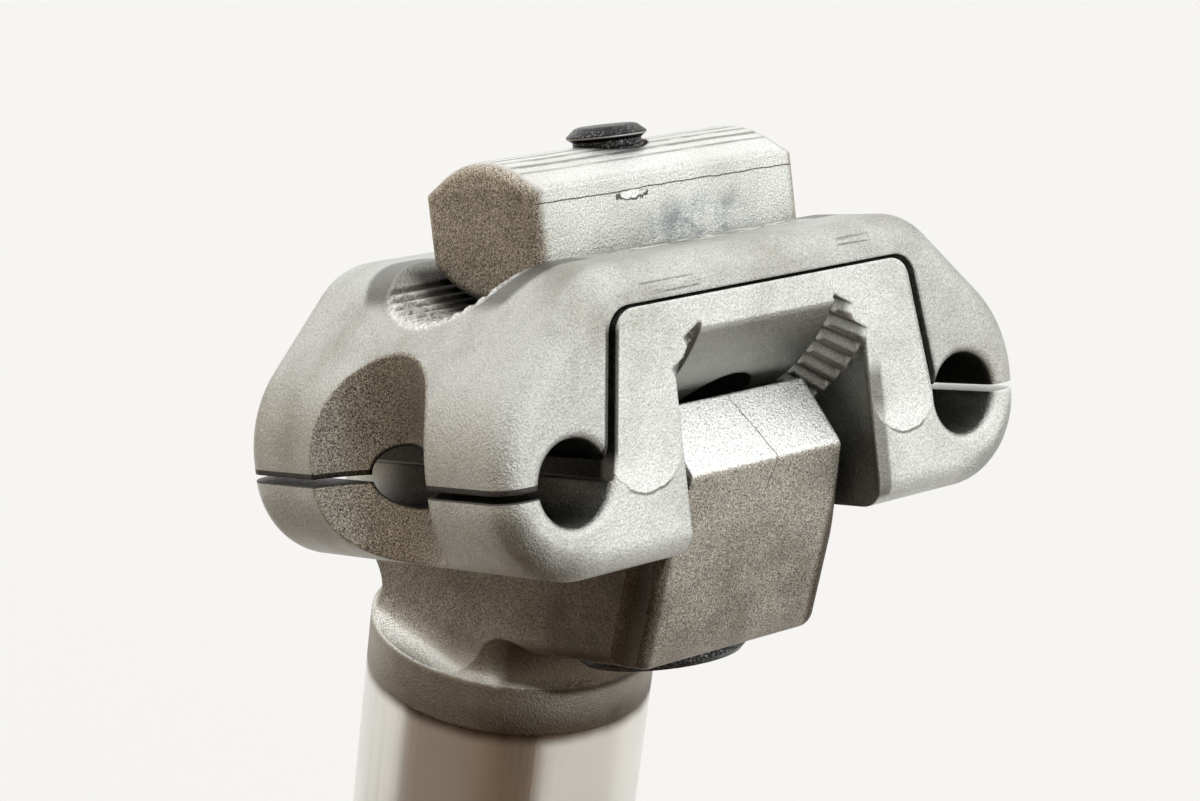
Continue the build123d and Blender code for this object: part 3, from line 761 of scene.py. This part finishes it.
class SEATPOST_OT_head(bpy.types.Operator):
    """Finish the forged head with its neck and collar"""
    bl_idname = "seatpost.head"
    bl_label = "Head"

    def execute(self, context):
        finish = context.scene.seatpost_finish
        dress("post_head", blasted_aluminium("blasted_aluminium_head", finish.dark_head_skin, finish, (
            (lip_bevel, "bright", 0), (brow_shade, "grime_and_shade", 0), (side_shade, "grime_and_shade", 0), (hollow_shade, "grime_and_shade", 0),
            (face_grime, "grime_and_shade", 0), (cove_highlight, "bright", 0), (collar_dirt_and_shade, "grime_and_shade", 0),
            (die_line, "mark", -1.0)), (head_block, 0.15, 0.6), swell=lip_bevel))
        return {"FINISHED"}


class SEATPOST_OT_nut(bpy.types.Operator):
    """Finish the cross nut"""
    bl_idname = "seatpost.nut"
    bl_label = "Cross nut"

    def execute(self, context):
        finish = context.scene.seatpost_finish
        dress("clamp_nut", blasted_aluminium("blasted_aluminium_nut", finish.clean, finish, (
            (nut_top, "bright", 0), (nut_ends, "brown", 0), (nut_stain, "stain", 0), (nut_lines, "mark", -3.0),
            (nut_fold, "mark", -3.0), (nut_flake, "bright", 3.0), (flake_line, "mark", -2.0)),
            (nut_sides, 0.12, 0.7), rubbed=nut_top))
        return {"FINISHED"}


class SEATPOST_OT_tube(bpy.types.Operator):
    """Finish the polished tube"""
    bl_idname = "seatpost.tube"
    bl_label = "Tube"

    def execute(self, context):
        dress("post_tube", polished_aluminium(context.scene.seatpost_finish))
        return {"FINISHED"}


class SEATPOST_OT_bolt(bpy.types.Operator):
    """Build the black bolt with its socket and thread, and finish its washer"""
    bl_idname = "seatpost.bolt"
    bl_label = "Bolt and washer"

    def execute(self, context):
        finish = context.scene.seatpost_finish
        bolt = context.scene.seatpost_bolt
        rim_mm = bolt.tip_rim / MM
        black = worn_steel(
            "black_oxide_steel", finish.black_steel, finish.bare_steel, roughness=0.38,
            rim=(rim_mm - 0.25, rim_mm - 0.13))

        def hexagon(grow):
            return lambda angle: (bolt.socket + grow) / math.cos(angle % (math.pi / 3) - math.pi / 6)

        socket_top = bolt.head_low + bolt.socket_depth
        head_top = bolt.head_low + bolt.head_height
        thread_low = bolt.tip_rim - bolt.neck - bolt.turns * bolt.pitch
        body = turned_mesh("clamp_bolt_body", [
            (socket_top, 0),
            (socket_top, hexagon(0)),
            (bolt.head_low + bolt.lip, hexagon(0)),
            (bolt.head_low, hexagon(bolt.lip)),
            (bolt.head_low, bolt.head - bolt.bevel),
            (bolt.head_low + bolt.bevel, bolt.head),
            (head_top - bolt.lip, bolt.head),
            (head_top, bolt.head - bolt.lip),
            (head_top, bolt.shank),
            (thread_low - bolt.bevel, bolt.shank),
            (thread_low, bolt.root),
            (bolt.tip_rim - TIP_FOOT, bolt.root),
            (bolt.tip_rim - TIP_SHOULDER, bolt.shank),
            (bolt.tip_rim, bolt.shank),
            *((bolt.tip - depth, bolt.shank - inset) for depth, inset in TIP_DOME),
            (bolt.tip, 0),
        ], BOLT_SIDES)
        piece = new_piece("clamp_bolt_body", body, black, "post")
        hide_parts("clamp_bolt")

        tree = thread_tree(black)
        draft = bpy.data.objects.new("thread_draft", bpy.data.meshes.new("thread_draft"))
        context.scene.collection.objects.link(draft)
        modifier = draft.modifiers.new("thread", "NODES")
        modifier.node_group = tree
        sizes = {"Turns": bolt.turns, "Pitch": bolt.pitch, "Root Radius": bolt.root,
                 "Ridge Height": bolt.shank - bolt.root}
        for socket in tree.interface.items_tree:
            if socket.in_out == "INPUT":
                modifier[socket.identifier] = sizes[socket.name]
        ready = draft.evaluated_get(context.evaluated_depsgraph_get())
        thread = bpy.data.meshes.new_from_object(ready)
        bpy.data.objects.remove(draft)
        thread.name = "bolt_thread"
        thread.transform(CLAMP_TO_POST @ Matrix.Translation((0, 0, thread_low)))
        new_piece("bolt_thread", thread, black, "post")

        dress("bolt_washer", worn_steel(
            "zinc_plated_steel", finish.zinc, finish.bare_steel, roughness=0.35, rim=WASHER_RIM))
        return {"FINISHED"}


class SEATPOST_OT_studio(bpy.types.Operator):
    """Set the floor, the cards, the lamps and the camera"""
    bl_idname = "seatpost.studio"
    bl_label = "Studio"

    def execute(self, context):
        scene = context.scene
        studio = scene.seatpost_studio
        corners = [(FLOOR_REACH * x, FLOOR_REACH * y, FLOOR_LEVEL) for x, y in ((-1, -1), (1, -1), (1, 1), (-1, 1))]
        stage_object("floor", corners, [(0, 1, 2, 3)], matt_paper("pale_paper", studio.floor))

        # The cards are soft at their borders, and only reflections show them
        stocks = {name: card_stock(name + "_card", getattr(studio, name)) for name in ("brown", "tan", "black")}
        for name, (stock, profile, rows) in CARDS.items():
            samples = []
            for (start, low), (end, high) in zip(profile, profile[1:]):
                steps = math.ceil((end - start) / CARD_STEP)
                samples += [(start + (end - start) * i / steps, low + (high - low) * i / steps) for i in range(steps)]
            samples.append(profile[-1])
            verts, covers = [], []
            for degrees, share in samples:
                angle = math.radians(degrees)
                verts += [(radius * math.cos(angle), radius * math.sin(angle), height) for radius, height, _ in rows]
                covers += [share * dense for _, _, dense in rows]
            firsts = [step * len(rows) + row for step in range(len(samples) - 1) for row in range(len(rows) - 1)]
            faces = [(first, first + 1, first + len(rows) + 1, first + len(rows)) for first in firsts]
            card = stage_object(name, verts, faces, stocks[stock])
            card.data.attributes.new("cover", "FLOAT", "POINT").data.foreach_set("value", covers)
            card.visible_camera = False
            card.visible_diffuse = False
            card.visible_shadow = False

        for name, energy, towards in (("key_lamp", studio.key, KEY_FROM), ("rim_lamp", studio.rim, RIM_FROM)):
            lamp = bpy.data.lights.new(name, "SUN")
            lamp.energy = energy
            lamp.angle = LAMP_SPREAD
            holder = bpy.data.objects.new(name, lamp)
            holder.rotation_euler = Vector(towards).to_track_quat("Z", "Y").to_euler()
            scene.collection.objects.link(holder)

        # The camera and reflections see a sky as pale as the floor, at full strength
        world = bpy.data.worlds.new("studio")
        world.use_nodes = True
        scene.world = world
        tree = world.node_tree
        tree.nodes.clear()
        path = add(tree, "ShaderNodeLightPath").node.outputs
        seen = add(tree, "ShaderNodeMath", {0: path["Is Camera Ray"], 1: path["Is Glossy Ray"]}, operation="MAXIMUM")
        shown = add(tree, "ShaderNodeMath", {0: seen, 1: path["Is Transmission Ray"]}, operation="MAXIMUM")
        strength = add(tree, "ShaderNodeMapRange", {"Value": shown, "To Min": studio.ambient, "To Max": 1.0})
        sky = add(tree, "ShaderNodeBackground", {"Color": studio.floor, "Strength": strength})
        add(tree, "ShaderNodeOutputWorld", {"Surface": sky})

        scene.view_settings.view_transform = "Standard"

        lens = bpy.data.cameras.new("photo_camera")
        lens.sensor_fit = "HORIZONTAL"
        lens.sensor_width = CAMERA_SENSOR
        lens.lens = CAMERA_LENS
        lens.clip_start = 0.01
        camera = bpy.data.objects.new("photo_camera", lens)
        right, up = Vector(CAMERA_RIGHT), Vector(CAMERA_UP)
        turn = Matrix((right, up, right.cross(up))).transposed()
        camera.matrix_world = Matrix.Translation(CAMERA_PLACE) @ turn.to_4x4()
        scene.collection.objects.link(camera)
        scene.camera = camera
        return {"FINISHED"}


OPERATORS = (SEATPOST_OT_clamps, SEATPOST_OT_head, SEATPOST_OT_nut, SEATPOST_OT_tube, SEATPOST_OT_bolt,
             SEATPOST_OT_studio)


class SEATPOST_PT_panel(bpy.types.Panel):
    """Settings and steps of the seatpost"""
    bl_idname = "SEATPOST_PT_panel"
    bl_label = "Seatpost"
    bl_space_type = "VIEW_3D"
    bl_region_type = "UI"
    bl_category = "Seatpost"

    def draw(self, context):
        layout = self.layout
        for group in (context.scene.seatpost_finish, context.scene.seatpost_bolt, context.scene.seatpost_studio):
            box = layout.box()
            for name in group.__annotations__:
                box.prop(group, name)
        for operator in OPERATORS:
            layout.operator(operator.bl_idname)


GROUPS = {"seatpost_finish": SeatpostFinish, "seatpost_bolt": SeatpostBolt, "seatpost_studio": SeatpostStudio}
CLASSES = (*GROUPS.values(), *OPERATORS, SEATPOST_PT_panel)


def register():
    for cls in CLASSES:
        bpy.utils.register_class(cls)
    for name, group in GROUPS.items():
        setattr(bpy.types.Scene, name, PointerProperty(type=group))


def unregister():
    for name in GROUPS:
        delattr(bpy.types.Scene, name)
    for cls in reversed(CLASSES):
        bpy.utils.unregister_class(cls)


def main():
    register()
    for operator in OPERATORS:
        group, action = operator.bl_idname.split(".")
        getattr(getattr(bpy.ops, group), action)()


if __name__ == "__main__":
    main()
